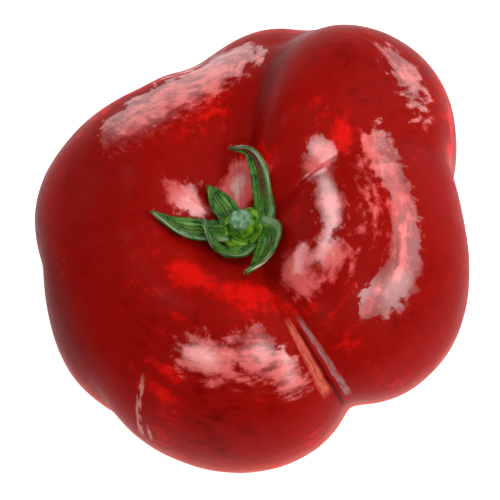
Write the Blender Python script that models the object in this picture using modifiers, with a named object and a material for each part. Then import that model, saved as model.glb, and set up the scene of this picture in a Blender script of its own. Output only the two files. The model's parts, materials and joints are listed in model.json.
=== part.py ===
"""A ribbed heirloom tomato resting on its blossom end, with its calyx and the stub of its stem.

Metres, +Z up. The flat spot that it rests on lies in the plane z = 0, and the middle of the
fruit's bounding box is over the origin. The meshes are measured from the fruit's own axis,
which runs up through the stem, and the empty fruit_axis puts them in place. Headings are in
degrees, anticlockwise from +X as seen from above.
"""

import math
from collections import namedtuple

import bmesh
import bpy
from mathutils import Matrix, Vector, noise
from mathutils.bvhtree import BVHTree

MM = 0.001
GAP = 0.5 * MM              # between pieces that grew together

# The lobes: where each one points, how far it reaches from the axis, and how high it crowns.
# The second is where the two lobes at the back run into one another.
Lobe = namedtuple("Lobe", "heading reach crown")
LOBES = (
    Lobe(heading=49, reach=55.4 * MM, crown=61.0 * MM),
    Lobe(heading=78, reach=51.6 * MM, crown=58.5 * MM),
    Lobe(heading=107, reach=42.8 * MM, crown=57.5 * MM),
    Lobe(heading=152, reach=42.7 * MM, crown=59.0 * MM),
    Lobe(heading=202, reach=39.6 * MM, crown=58.0 * MM),
    Lobe(heading=272, reach=40.4 * MM, crown=60.0 * MM),
    Lobe(heading=362, reach=44.3 * MM, crown=60.5 * MM),
)

# The creases between them: where each one crosses the belt, how deep it cuts on the shoulder
# and at the belt, how many degrees it opens over on the side before it and the side after it,
# how far it swirls, with the lobes beside it, from the belt to the stem end, and whether it is
# a fold, 1, or a broad hollow, 2. Their headings are whole steps, so that a column of the mesh
# runs down the bottom of each one.
Crease = namedtuple("Crease", "heading shoulder belt before after swirl flank")
CREASES = (
    Crease(heading=21, shoulder=2.5 * MM, belt=5.5 * MM, before=13, after=13, swirl=18, flank=1),
    Crease(heading=78, shoulder=4.5 * MM, belt=0.0 * MM, before=8, after=19, swirl=14, flank=2),
    Crease(heading=120, shoulder=0.5 * MM, belt=7.0 * MM, before=12, after=12, swirl=6, flank=1),
    Crease(heading=183, shoulder=0.5 * MM, belt=3.0 * MM, before=12, after=12, swirl=0, flank=1),
    Crease(heading=228, shoulder=0.5 * MM, belt=2.5 * MM, before=12, after=12, swirl=-12, flank=1),
    Crease(heading=306, shoulder=5.5 * MM, belt=7.7 * MM, before=13, after=15, swirl=-11, flank=1),
)
CREASE_FLOOR = 3.0          # degrees over which the bottom of a crease is rounded
SHOULDER = 0.30             # shares of the way from the stem end to the blossom end, where the
BELT = 0.50                 # creases have their shoulder depth, their belt depth and what is
BASE = 0.95                 # left of it
PARTING = 12.0 * MM         # from the axis, where lobes and creases are fully apart
MIDDLE_CROWN = 59.5 * MM    # that the lobes share at the axis, over the cavity
BASE_SHARE = 0.25           # of a crease's belt depth that is left at the base

BELT_SHARE = 0.50           # height of the widest belt, as a share of the crown
FULLNESS = 0.86             # power on the sine of the meridian: under 1 is fuller than an ellipse
TOP_HEAVY = 0.05            # how much wider the shoulders are than the base
CORE_SHARE = 0.40           # the ring that creases close towards, as a share of the reach
CAVITY_DEPTH = 12.0 * MM    # of the hollow round the stem
CAVITY_RADIUS = 13.0 * MM
REST_DEPTH = 1.3 * MM       # how much of the base is pressed flat by the fruit's weight
DIMPLE_DEPTH = 1.2 * MM     # of the blossom scar, in the middle of the flat spot
DIMPLE_RADIUS = 5.0 * MM
UNEVENNESS = 0.45 * MM
UNEVEN_LENGTH = 17.0 * MM   # from one swelling of the uneven skin to the next

HEADING_STEPS = 120
MERIDIAN_STEPS = 38
POLE_CLOSENESS = 0.5        # how much closer the rings stand at the two ends than on average

# The calyx: a pad on the floor of the cavity, with a raised ring round the foot of the stem.
HUB_RADIUS = 4.4 * MM
HUB_THICKNESS = 1.6 * MM
COLLAR_RADIUS = 3.1 * MM
COLLAR_WIDTH = 0.7 * MM
COLLAR_HEIGHT = 0.6 * MM
HUB_SIDES = 28
HUB_RINGS = 12

# The sepals: the middle line of each, from the hub to its tip, as points of x and y from the
# axis and of height above the floor of the cavity, in mm; its width at the hub and along the
# blade; how far its edges rise over its groove, as a share of the width; and how far its tip
# is rolled over to the right, in degrees.
Sepal = namedtuple("Sepal", "line root_width width cup roll")
SEPALS = (
    Sepal(  # the long one at the back, whose tip hooks to the left
        line=((2.2, 1.0, 2.0), (3.9, 3.4, 2.9), (3.5, 7.0, 5.5), (2.7, 10.4, 8.0),
              (0.9, 13.0, 8.6), (-2.8, 13.8, 7.4)),
        root_width=5.0 * MM, width=3.6 * MM, cup=0.25, roll=0,
    ),
    Sepal(  # the short one at the back left
        line=((-1.4, 1.4, 1.6), (-3.2, 3.4, 2.3), (-4.8, 5.3, 3.4), (-6.5, 7.2, 5.2)),
        root_width=4.8 * MM, width=4.3 * MM, cup=0.20, roll=0,
    ),
    Sepal(  # the straight strap on the left
        line=((-2.4, -0.4, 1.6), (-5.6, -0.7, 2.4), (-9.2, -1.1, 4.1), (-12.8, -0.8, 6.0),
              (-16.6, 1.0, 8.0)),
        root_width=4.2 * MM, width=4.2 * MM, cup=0.20, roll=0,
    ),
    Sepal(  # the crescent at the front left, curling back over the strap
        line=((1.2, -2.4, 1.6), (-0.3, -4.9, 2.9), (-2.9, -5.7, 3.8), (-5.3, -4.2, 4.0),
              (-6.6, -1.7, 4.6), (-7.2, 0.4, 5.6)),
        root_width=3.4 * MM, width=3.0 * MM, cup=0.25, roll=30,
    ),
    Sepal(  # the crescent at the front right
        line=((2.4, -0.2, 1.9), (5.0, -1.6, 3.8), (4.7, -4.8, 4.2), (3.1, -7.9, 5.2),
              (0.3, -10.4, 7.1)),
        root_width=6.0 * MM, width=5.0 * MM, cup=0.20, roll=20,
    ),
)
BOWL_HEIGHT = 14.0 * MM     # above the floor, of the point that all the sepals face
SEPAL_THICKNESS = 0.8 * MM
SEPAL_TIP = 0.5 * MM        # width at the very tip
NECK_END = 0.35             # share of the length where the root has narrowed to the blade
POINT_START = 0.55          # share of the length where the blade starts to taper to its tip
POINT_POWER = 1.6           # over 1, the taper's sides are rounded
SEPAL_STEPS = 14
SEPAL_STRIPS = 4
LINE_STEP = 0.02            # share of the length over which a blade's direction is read

# The stub of the stem, turned as a lathe would: radii at heights above its foot.
STEM_PROFILE = (
    (2.0 * MM, 0.0 * MM),
    (1.8 * MM, 0.9 * MM),
    (1.8 * MM, 1.8 * MM),
    (2.1 * MM, 2.6 * MM),
    (2.0 * MM, 3.3 * MM),
    (1.9 * MM, 3.8 * MM),
    (1.6 * MM, 4.1 * MM),
)
STEM_LEAN = -0.17           # to the right, as a share of the height
STEM_SIDES = 20
FOOT_RISE = 1.1 * MM        # of the stem's foot over the middle of the hub, which is a hollow

SKIN_RED = (0.30, 0.006, 0.004)
SEPAL_GREEN = (0.045, 0.16, 0.02)
STEM_GREEN = (0.11, 0.26, 0.07)


def smooth_step(share):
    share = min(max(share, 0.0), 1.0)
    return share * share * (3.0 - 2.0 * share)


def turn_between(heading, other):
    """The turn from other to heading in degrees, from -180 to 180."""
    return (heading - other + 180.0) % 360.0 - 180.0


def around(stops, heading, field):
    """A dimension at any heading, eased from each lobe or crease to the next."""
    for here, after in zip(stops, stops[1:] + stops[:1]):
        gap = (after.heading - here.heading) % 360.0
        turn = (heading - here.heading) % 360.0
        if turn <= gap:
            share = smooth_step(turn / gap)
            return (1.0 - share) * getattr(here, field) + share * getattr(after, field)
    return getattr(stops[0], field)


def crease_depth(heading, polar):
    """How deep the creases cut at this heading, polar being the angle from the stem end."""
    along = polar / math.pi
    to_belt = smooth_step((along - SHOULDER) / (BELT - SHOULDER))
    to_base = smooth_step((along - BELT) / (BASE - BELT))
    cut = 0.0
    for crease in CREASES:
        depth = crease.shoulder + (crease.belt - crease.shoulder) * to_belt
        turn = turn_between(heading, crease.heading)
        rounded = math.hypot(turn, CREASE_FLOOR) - CREASE_FLOOR
        width = crease.after if turn > 0.0 else crease.before
        cut += depth * math.exp(-((rounded / width) ** crease.flank))
    return cut * (1.0 - (1.0 - BASE_SHARE) * to_base)


def skin_point(heading, polar):
    """The point of the skin at this heading, at the belt, and this angle from the stem end."""
    reach = around(LOBES, heading, "reach")
    sine, cosine = math.sin(polar), math.cos(polar)
    out = reach * sine ** FULLNESS * (1.0 + TOP_HEAVY * cosine)
    parted = smooth_step(out / PARTING)
    crown = MIDDLE_CROWN + (around(LOBES, heading, "crown") - MIDDLE_CROWN) * parted
    belt = BELT_SHARE * crown
    up = belt + (crown - belt if cosine > 0.0 else belt) * cosine

    core = CORE_SHARE * reach
    inward = Vector((core - out, belt - up)).normalized()
    cut = crease_depth(heading, polar) * parted
    out += inward.x * cut
    up += inward.y * cut

    if cosine > 0.0:
        up -= CAVITY_DEPTH * math.exp(-((out / CAVITY_RADIUS) ** 2))
    turn = math.radians(heading + around(CREASES, heading, "swirl") * (1.0 - 2.0 * polar / math.pi))
    point = Vector((out * math.cos(turn), out * math.sin(turn), up))
    point *= 1.0 + UNEVENNESS / reach * noise.noise(point / UNEVEN_LENGTH)
    if cosine < 0.0:
        dimple = DIMPLE_DEPTH * smooth_step(1.0 - out / DIMPLE_RADIUS)
        point.z = max(point.z, REST_DEPTH) + dimple
    point.z -= REST_DEPTH
    return point


def make_object(name, shape):
    """A smooth-shaded object made from a bmesh, which is freed."""
    mesh = bpy.data.meshes.new(name)
    shape.to_mesh(mesh)
    shape.free()
    mesh.shade_smooth()
    return bpy.data.objects.new(name, mesh)


def make_fruit():
    """The fruit, and a tree to look its skin up in."""
    shape = bmesh.new()
    bmesh.ops.create_uvsphere(shape, u_segments=HEADING_STEPS, v_segments=MERIDIAN_STEPS, radius=1.0)
    for vert in shape.verts:
        heading = math.degrees(math.atan2(vert.co.y, vert.co.x))
        even = math.acos(min(max(vert.co.z, -1.0), 1.0))
        polar = even - 0.5 * POLE_CLOSENESS * math.sin(2.0 * even)
        vert.co = skin_point(heading, polar)
    tree = BVHTree.FromBMesh(shape)
    return make_object("fruit", shape), tree


def skin_height(tree, x, y):
    """The height of the skin straight below a point over the fruit."""
    above = Vector((x, y, 1.0))
    return tree.ray_cast(above, Vector((0.0, 0.0, -1.0)))[0].z


def make_hub(tree):
    """The pad of the calyx: a lens that follows the floor of the cavity."""
    shape = bmesh.new()
    bmesh.ops.create_uvsphere(shape, u_segments=HUB_SIDES, v_segments=HUB_RINGS, radius=1.0)
    for vert in shape.verts:
        x, y = vert.co.x * HUB_RADIUS, vert.co.y * HUB_RADIUS
        collar = COLLAR_HEIGHT * math.exp(-(((math.hypot(x, y) - COLLAR_RADIUS) / COLLAR_WIDTH) ** 2))
        thickness = HUB_THICKNESS + (collar if vert.co.z > 0.0 else 0.0)
        vert.co = Vector((x, y, skin_height(tree, x, y) + GAP + thickness * (0.5 + 0.5 * vert.co.z)))
    return make_object("calyx", shape)


def point_along(points, share):
    """The place at this share of a smooth line through the points."""
    last = len(points) - 1
    position = min(max(share, 0.0), 1.0) * last
    index = min(int(position), last - 1)
    part = position - index
    here, after = points[index], points[index + 1]
    before = points[max(index - 1, 0)]
    beyond = points[min(index + 2, last)]
    bend = 2.0 * before - 5.0 * here + 4.0 * after - beyond
    twist = 3.0 * here - before - 3.0 * after + beyond
    return here + 0.5 * ((after - before) * part + bend * part ** 2 + twist * part ** 3)


def blade_width(sepal, along):
    """Wide where it leaves the hub, even along the blade and tapered to the tip."""
    neck = 1.0 - smooth_step(along / NECK_END)
    taper = max(along - POINT_START, 0.0) / (1.0 - POINT_START)
    width = sepal.width + (sepal.root_width - sepal.width) * neck
    return max(width * (1.0 - taper ** POINT_POWER), SEPAL_TIP)


def make_sepal(number, sepal, floor):
    """A thin grooved blade along its middle line, facing the middle of the cavity."""
    points = [Vector((x * MM, y * MM, floor + height * MM)) for x, y, height in sepal.line]
    faced = Vector((0.0, 0.0, floor + BOWL_HEIGHT))
    shape = bmesh.new()
    bmesh.ops.create_grid(shape, x_segments=SEPAL_STEPS, y_segments=SEPAL_STRIPS, size=0.5)
    for vert in shape.verts:
        along = vert.co.x + 0.5
        across = 2.0 * vert.co.y
        middle = point_along(points, along)
        ahead = point_along(points, along + LINE_STEP) - point_along(points, along - LINE_STEP)
        side = ahead.cross(faced - middle).normalized()
        rise = side.cross(ahead).normalized()
        width = blade_width(sepal, along)
        groove = sepal.cup * smooth_step(along / NECK_END)
        place = Vector((0.5 * width * across, width * groove * across ** 2))
        place.rotate(Matrix.Rotation(math.radians(-sepal.roll) * along, 2))
        vert.co = middle + side * place.x + rise * place.y
    bmesh.ops.triangulate(shape, faces=shape.faces)
    blade = make_object("sepal_%d" % number, shape)
    wall = blade.modifiers.new("thickness", "SOLIDIFY")
    wall.thickness = SEPAL_THICKNESS
    wall.offset = 0.0
    return blade


def make_calyx(tree, floor, collection):
    """The hub and its sepals, joined into one body."""
    hub = make_hub(tree)
    collection.objects.link(hub)
    blades = bpy.data.collections.new("sepals")
    bpy.context.scene.collection.children.link(blades)
    for number, sepal in enumerate(SEPALS, start=1):
        blades.objects.link(make_sepal(number, sepal, floor))
    union = hub.modifiers.new("union", "BOOLEAN")
    union.operation = "UNION"
    union.operand_type = "COLLECTION"
    union.solver = "MANIFOLD"
    union.collection = blades
    joined = bpy.data.meshes.new_from_object(hub.evaluated_get(bpy.context.evaluated_depsgraph_get()))
    hub.modifiers.clear()
    hub.data = joined
    for blade in list(blades.objects):
        bpy.data.objects.remove(blade)
    bpy.data.collections.remove(blades)
    return hub


def make_stem(foot):
    """The stub, standing on the middle of the hub."""
    shape = bmesh.new()
    for radius, height in STEM_PROFILE:
        shape.verts.new((radius, 0.0, height))
    shape.verts.ensure_lookup_table()
    for lower, upper in zip(shape.verts[:-1], shape.verts[1:]):
        shape.edges.new((lower, upper))
    bmesh.ops.spin(
        shape, geom=shape.verts[:] + shape.edges[:], cent=(0.0, 0.0, 0.0), axis=(0.0, 0.0, 1.0),
        angle=math.tau, steps=STEM_SIDES, use_merge=True,
    )
    rims = [edge for edge in shape.edges if edge.is_boundary]
    bmesh.ops.holes_fill(shape, edges=rims)
    bmesh.ops.recalc_face_normals(shape, faces=shape.faces)
    for vert in shape.verts:
        vert.co += Vector((STEM_LEAN * vert.co.z, 0.0, foot))
    return make_object("stem", shape)


def paint(part, name, colour, roughness):
    material = bpy.data.materials.new(name)
    material.use_nodes = True
    shader = material.node_tree.nodes["Principled BSDF"]
    shader.inputs["Base Color"].default_value = (*colour, 1.0)
    shader.inputs["Roughness"].default_value = roughness
    shader.inputs["Metallic"].default_value = 0.0
    part.data.materials.clear()
    part.data.materials.append(material)


def main():
    for obj in list(bpy.data.objects):
        bpy.data.objects.remove(obj)
    collection = bpy.data.collections.new("heirloom_tomato")
    bpy.context.scene.collection.children.link(collection)

    fruit, tree = make_fruit()
    collection.objects.link(fruit)
    floor = skin_height(tree, 0.0, 0.0)
    calyx = make_calyx(tree, floor, collection)
    stem = make_stem(floor + GAP + HUB_THICKNESS + FOOT_RISE)
    collection.objects.link(stem)

    paint(fruit, "tomato_skin", SKIN_RED, 0.25)
    paint(calyx, "sepal_green", SEPAL_GREEN, 0.5)
    paint(stem, "cut_stem", STEM_GREEN, 0.55)

    corners = [Vector(corner) for corner in fruit.bound_box]
    middle = (corners[0] + corners[6]) / 2.0
    axis = bpy.data.objects.new("fruit_axis", None)
    axis.location = (-middle.x, -middle.y, 0.0)
    collection.objects.link(axis)
    for part in (fruit, calyx, stem):
        part.parent = axis


main()
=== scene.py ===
"""The looks of a ribbed heirloom tomato: its skin, its calyx and the stub of its stem.

Every piece is modelled round the fruit's own axis, which runs up through the stem, and is then
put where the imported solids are. Headings are in degrees, anticlockwise from +X as seen from
above. Lengths are in metres.
"""

import json
import math
import random
from collections import namedtuple

import bmesh
import bpy
from mathutils import Matrix, Vector, noise
from mathutils.bvhtree import BVHTree

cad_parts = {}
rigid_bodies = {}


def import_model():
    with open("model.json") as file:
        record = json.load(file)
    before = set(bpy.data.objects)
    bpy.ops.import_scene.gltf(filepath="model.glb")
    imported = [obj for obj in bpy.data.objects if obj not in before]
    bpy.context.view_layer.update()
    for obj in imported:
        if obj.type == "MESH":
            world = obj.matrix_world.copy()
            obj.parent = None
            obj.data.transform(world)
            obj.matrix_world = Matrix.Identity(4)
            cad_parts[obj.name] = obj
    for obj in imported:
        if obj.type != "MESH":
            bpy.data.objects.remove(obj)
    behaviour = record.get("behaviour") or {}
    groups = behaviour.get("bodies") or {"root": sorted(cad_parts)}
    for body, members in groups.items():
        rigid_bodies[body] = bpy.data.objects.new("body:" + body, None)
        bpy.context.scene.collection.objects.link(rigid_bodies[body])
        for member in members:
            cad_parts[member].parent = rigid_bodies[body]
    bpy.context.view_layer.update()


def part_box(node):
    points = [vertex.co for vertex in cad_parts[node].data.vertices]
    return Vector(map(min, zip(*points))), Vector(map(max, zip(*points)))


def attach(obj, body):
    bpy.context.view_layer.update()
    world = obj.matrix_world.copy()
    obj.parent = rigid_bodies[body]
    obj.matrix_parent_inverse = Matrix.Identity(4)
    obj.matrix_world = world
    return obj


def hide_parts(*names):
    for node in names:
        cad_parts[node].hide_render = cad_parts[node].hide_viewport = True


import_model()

MM = 0.001

# The body's form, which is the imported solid's own.
Lobe = namedtuple("Lobe", "heading reach crown")
LOBES = (
    Lobe(heading=49, reach=55.4 * MM, crown=61.0 * MM),
    Lobe(heading=78, reach=51.6 * MM, crown=58.5 * MM),
    Lobe(heading=107, reach=42.8 * MM, crown=57.5 * MM),
    Lobe(heading=152, reach=42.7 * MM, crown=59.0 * MM),
    Lobe(heading=202, reach=39.6 * MM, crown=58.0 * MM),
    Lobe(heading=272, reach=40.4 * MM, crown=60.0 * MM),
    Lobe(heading=362, reach=44.3 * MM, crown=60.5 * MM),
)
Crease = namedtuple("Crease", "heading shoulder belt before after swirl flank")
CREASES = (
    Crease(heading=21, shoulder=2.5 * MM, belt=5.5 * MM, before=13, after=13, swirl=18, flank=1),
    Crease(heading=78, shoulder=4.5 * MM, belt=0.0 * MM, before=8, after=19, swirl=14, flank=2),
    Crease(heading=120, shoulder=0.5 * MM, belt=7.0 * MM, before=12, after=12, swirl=6, flank=1),
    Crease(heading=183, shoulder=0.5 * MM, belt=3.0 * MM, before=12, after=12, swirl=0, flank=1),
    Crease(heading=228, shoulder=0.5 * MM, belt=2.5 * MM, before=12, after=12, swirl=-12, flank=1),
    Crease(heading=306, shoulder=5.5 * MM, belt=7.7 * MM, before=13, after=15, swirl=-11, flank=1),
)
CREASE_FLOOR = 3.0          # degrees over which the bottom of a crease is rounded
SHOULDER = 0.30             # shares of the way from the stem end to the blossom end
BELT = 0.50
BASE = 0.95
PARTING = 12.0 * MM         # from the axis, where lobes and creases are fully apart
MIDDLE_CROWN = 59.5 * MM
BASE_SHARE = 0.25
BELT_SHARE = 0.50
FULLNESS = 0.86
TOP_HEAVY = 0.05
CORE_SHARE = 0.40
CAVITY_DEPTH = 12.0 * MM
CAVITY_RADIUS = 13.0 * MM
REST_DEPTH = 1.3 * MM
DIMPLE_DEPTH = 1.2 * MM
DIMPLE_RADIUS = 5.0 * MM
UNEVENNESS = 0.45 * MM
UNEVEN_LENGTH = 17.0 * MM
HEADING_STEPS = 480
MERIDIAN_STEPS = 180
POLE_CLOSENESS = 0.5

# The fine relief of the skin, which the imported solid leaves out.
PUCKER_DEPTH = 0.14 * MM    # of the folds that run down into the hollow
PUCKER_COUNT = 7.0          # of the noise across the fruit, so about 44 folds around it
PUCKER_DRIFT = 2.0          # of the noise down the fruit, so that the folds wander
PUCKER_START = 5.0 * MM
PUCKER_END = 21.0 * MM
RIPPLE_DEPTH = 0.07 * MM
RIPPLE_LENGTH = 5.5 * MM
CRINKLE_DEPTH = 0.02 * MM
CRINKLE_LENGTH = 2.2 * MM
SCAR_RADIUS = 2.6 * MM      # of the corky blossom scar
SCAR_DEPTH = 0.25 * MM
SCAR_COUNT = 3.0

# Patches of the skin, each by its heading at the belt and its place from the stem end, 0, to the
# blossom end, 1, with how far it spreads round the fruit, in degrees, and along it, as a share.
Patch = namedtuple("Patch", "heading along breadth length strength")
WAXY = (                    # where the skin shines most, and where its red is painted brighter as painted light
    Patch(heading=134, along=0.208, breadth=15, length=0.046, strength=1.0),
    Patch(heading=112, along=0.222, breadth=18, length=0.062, strength=1.1),
    Patch(heading=90, along=0.262, breadth=14, length=0.076, strength=1.0),
    Patch(heading=43, along=0.285, breadth=7, length=0.030, strength=0.8),
    Patch(heading=33, along=0.280, breadth=8, length=0.035, strength=0.7),
    Patch(heading=17, along=0.185, breadth=9, length=0.032, strength=1.2),
    Patch(heading=2, along=0.202, breadth=10, length=0.026, strength=1.0),
    Patch(heading=350, along=0.204, breadth=9, length=0.026, strength=0.9),
    Patch(heading=341, along=0.222, breadth=8, length=0.030, strength=1.1),
    Patch(heading=331, along=0.205, breadth=8, length=0.032, strength=1.1),
    Patch(heading=25, along=0.092, breadth=12, length=0.026, strength=1.2),
    Patch(heading=359, along=0.094, breadth=12, length=0.022, strength=1.2),
    Patch(heading=327, along=0.070, breadth=12, length=0.024, strength=0.9),
    Patch(heading=336, along=0.108, breadth=9, length=0.024, strength=0.9),
    Patch(heading=260, along=0.206, breadth=10, length=0.036, strength=1.3),
    Patch(heading=274, along=0.188, breadth=9, length=0.026, strength=0.7),
    Patch(heading=284, along=0.188, breadth=7, length=0.042, strength=1.2),
    Patch(heading=292, along=0.245, breadth=7, length=0.046, strength=1.1),
    Patch(heading=152, along=0.062, breadth=22, length=0.030, strength=0.9),
    Patch(heading=86, along=0.036, breadth=32, length=0.022, strength=0.9),
)
PAINTED_HIGHLIGHTS = (                    # painted highlights: pale pink and white patches put into the skin's colour
    Patch(heading=326, along=0.068, breadth=13, length=0.020, strength=0.9),
    Patch(heading=336, along=0.108, breadth=9, length=0.024, strength=0.9),
    Patch(heading=318, along=0.100, breadth=7, length=0.024, strength=0.8),
    Patch(heading=154, along=0.066, breadth=15, length=0.030, strength=1.05),
    Patch(heading=84, along=0.036, breadth=28, length=0.022, strength=1.4),
    Patch(heading=2, along=0.150, breadth=30, length=0.026, strength=0.45),
    Patch(heading=36, along=0.285, breadth=12, length=0.040, strength=0.5),
    Patch(heading=260, along=0.206, breadth=10, length=0.036, strength=0.8),
    Patch(heading=278, along=0.206, breadth=16, length=0.046, strength=0.6),
    Patch(heading=292, along=0.245, breadth=7, length=0.044, strength=0.7),
    Patch(heading=25, along=0.092, breadth=9, length=0.020, strength=0.9),
    Patch(heading=359, along=0.094, breadth=9, length=0.016, strength=0.9),
    Patch(heading=17, along=0.188, breadth=9, length=0.024, strength=0.7),
    Patch(heading=345, along=0.210, breadth=18, length=0.022, strength=0.6),
    Patch(heading=120, along=0.216, breadth=24, length=0.048, strength=0.7),
    Patch(heading=90, along=0.255, breadth=13, length=0.066, strength=0.6),
)
LIGHT_AND_SHADE = (                  # where the red is painted brighter, mostly as painted light, and darker, under 0, as painted shade on the left flank and beside the crease at the back
    Patch(heading=238, along=0.090, breadth=17, length=0.024, strength=1.2),
    Patch(heading=286, along=0.095, breadth=24, length=0.032, strength=0.9),
    Patch(heading=100, along=0.150, breadth=20, length=0.035, strength=0.4),
    Patch(heading=70, along=0.055, breadth=22, length=0.025, strength=0.7),
    Patch(heading=27, along=0.130, breadth=6, length=0.014, strength=0.9),
    Patch(heading=350, along=0.165, breadth=22, length=0.040, strength=0.3),
    Patch(heading=252, along=0.340, breadth=7, length=0.120, strength=0.5),
    Patch(heading=315, along=0.230, breadth=9, length=0.100, strength=0.3),
    Patch(heading=130, along=0.310, breadth=30, length=0.030, strength=0.6),
    Patch(heading=45, along=0.400, breadth=34, length=0.030, strength=0.9),
    Patch(heading=197, along=0.380, breadth=34, length=0.090, strength=-1.0),
    Patch(heading=182, along=0.210, breadth=36, length=0.080, strength=-0.25),
    Patch(heading=72, along=0.220, breadth=5, length=0.140, strength=-0.8),
    Patch(heading=242, along=0.150, breadth=12, length=0.030, strength=0.4),
    Patch(heading=340, along=0.330, breadth=32, length=0.080, strength=-0.25),
    Patch(heading=55, along=0.200, breadth=22, length=0.070, strength=-0.2),
)


def smooth_step(share):
    share = min(max(share, 0.0), 1.0)
    return share * share * (3.0 - 2.0 * share)


def turn_between(heading, other):
    """The turn from other to heading in degrees, from -180 to 180."""
    return (heading - other + 180.0) % 360.0 - 180.0


def around(stops, heading, field):
    """A dimension at any heading, eased from each lobe or crease to the next."""
    for here, after in zip(stops, stops[1:] + stops[:1]):
        gap = (after.heading - here.heading) % 360.0
        turn = (heading - here.heading) % 360.0
        if turn <= gap:
            share = smooth_step(turn / gap)
            return (1.0 - share) * getattr(here, field) + share * getattr(after, field)
    return getattr(stops[0], field)


def crease_depth(heading, polar):
    """How deep the creases cut at this heading, polar being the angle from the stem end."""
    along = polar / math.pi
    to_belt = smooth_step((along - SHOULDER) / (BELT - SHOULDER))
    to_base = smooth_step((along - BELT) / (BASE - BELT))
    cut = 0.0
    for crease in CREASES:
        depth = crease.shoulder + (crease.belt - crease.shoulder) * to_belt
        turn = turn_between(heading, crease.heading)
        rounded = math.hypot(turn, CREASE_FLOOR) - CREASE_FLOOR
        width = crease.after if turn > 0.0 else crease.before
        cut += depth * math.exp(-((rounded / width) ** crease.flank))
    return cut * (1.0 - (1.0 - BASE_SHARE) * to_base)


def fine_relief(heading, polar, out):
    """The height of folds, ripples and the blossom scar over the plain skin."""
    angle = math.radians(heading)
    ring = Vector((math.cos(angle), math.sin(angle), 0.0))
    place = ring * out + Vector((0.0, 0.0, polar * BELT_SHARE * MIDDLE_CROWN))
    relief = RIPPLE_DEPTH * noise.noise(place / RIPPLE_LENGTH)
    relief += CRINKLE_DEPTH * noise.noise(place / CRINKLE_LENGTH)
    if polar < math.pi / 2.0:
        near = smooth_step((out - PUCKER_START) / PUCKER_START) * (1.0 - smooth_step(out / PUCKER_END))
        folds = noise.noise(ring * PUCKER_COUNT + Vector((0.0, 0.0, polar * PUCKER_DRIFT)))
        relief += PUCKER_DEPTH * near * folds
    else:
        scar = 1.0 - smooth_step(out / SCAR_RADIUS)
        rough = noise.noise(ring * SCAR_COUNT + Vector((0.0, 0.0, out / MM)))
        relief -= SCAR_DEPTH * scar * (0.5 + rough)
    return relief


def skin_point(heading, polar):
    """The point of the skin at this heading, at the belt, and this angle from the stem end."""
    reach = around(LOBES, heading, "reach")
    sine, cosine = math.sin(polar), math.cos(polar)
    out = reach * sine ** FULLNESS * (1.0 + TOP_HEAVY * cosine)
    parted = smooth_step(out / PARTING)
    crown = MIDDLE_CROWN + (around(LOBES, heading, "crown") - MIDDLE_CROWN) * parted
    belt = BELT_SHARE * crown
    up = belt + (crown - belt if cosine > 0.0 else belt) * cosine

    core = CORE_SHARE * reach
    inward = Vector((core - out, belt - up)).normalized()
    cut = crease_depth(heading, polar) * parted - fine_relief(heading, polar, out)
    out += inward.x * cut
    up += inward.y * cut

    if cosine > 0.0:
        up -= CAVITY_DEPTH * math.exp(-((out / CAVITY_RADIUS) ** 2))
    turn = math.radians(heading + around(CREASES, heading, "swirl") * (1.0 - 2.0 * polar / math.pi))
    point = Vector((out * math.cos(turn), out * math.sin(turn), up))
    point *= 1.0 + UNEVENNESS / reach * noise.noise(point / UNEVEN_LENGTH)
    if cosine < 0.0:
        dimple = DIMPLE_DEPTH * smooth_step(1.0 - out / DIMPLE_RADIUS)
        point.z = max(point.z, REST_DEPTH) + dimple
    point.z -= REST_DEPTH
    return point


def patched(patches, heading, along):
    """How much of these patches there is at a place on the skin."""
    total = 0.0
    for patch in patches:
        turn = turn_between(heading, patch.heading) / patch.breadth
        step = (along - patch.along) / patch.length
        total += patch.strength * math.exp(-(turn * turn + step * step))
    return total


def make_object(name, shape):
    """A smooth-shaded object made from a bmesh, which is freed."""
    mesh = bpy.data.meshes.new(name)
    shape.to_mesh(mesh)
    shape.free()
    mesh.shade_smooth()
    piece = bpy.data.objects.new(name, mesh)
    bpy.context.scene.collection.objects.link(piece)
    return piece


def make_skin():
    """The body at full detail, with where each point grew, and a tree to look it up in."""
    shape = bmesh.new()
    bmesh.ops.create_uvsphere(shape, u_segments=HEADING_STEPS, v_segments=MERIDIAN_STEPS, radius=1.0)
    grown = shape.verts.layers.float_vector.new("grown")
    waxy = shape.verts.layers.float.new("waxy")
    pale = shape.verts.layers.float.new("pale")
    bright = shape.verts.layers.float.new("bright")
    for vert in shape.verts:
        heading = math.degrees(math.atan2(vert.co.y, vert.co.x))
        even = math.acos(min(max(vert.co.z, -1.0), 1.0))
        polar = even - 0.5 * POLE_CLOSENESS * math.sin(2.0 * even)
        angle = math.radians(heading)
        along = polar / math.pi
        vert[grown] = Vector((math.cos(angle), math.sin(angle), along))
        vert[waxy] = patched(WAXY, heading, along)
        vert[pale] = patched(PAINTED_HIGHLIGHTS, heading, along)
        vert[bright] = patched(LIGHT_AND_SHADE, heading, along)
        vert.co = skin_point(heading, polar)
    tree = BVHTree.FromBMesh(shape)
    return make_object("tomato_body", shape), tree
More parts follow.
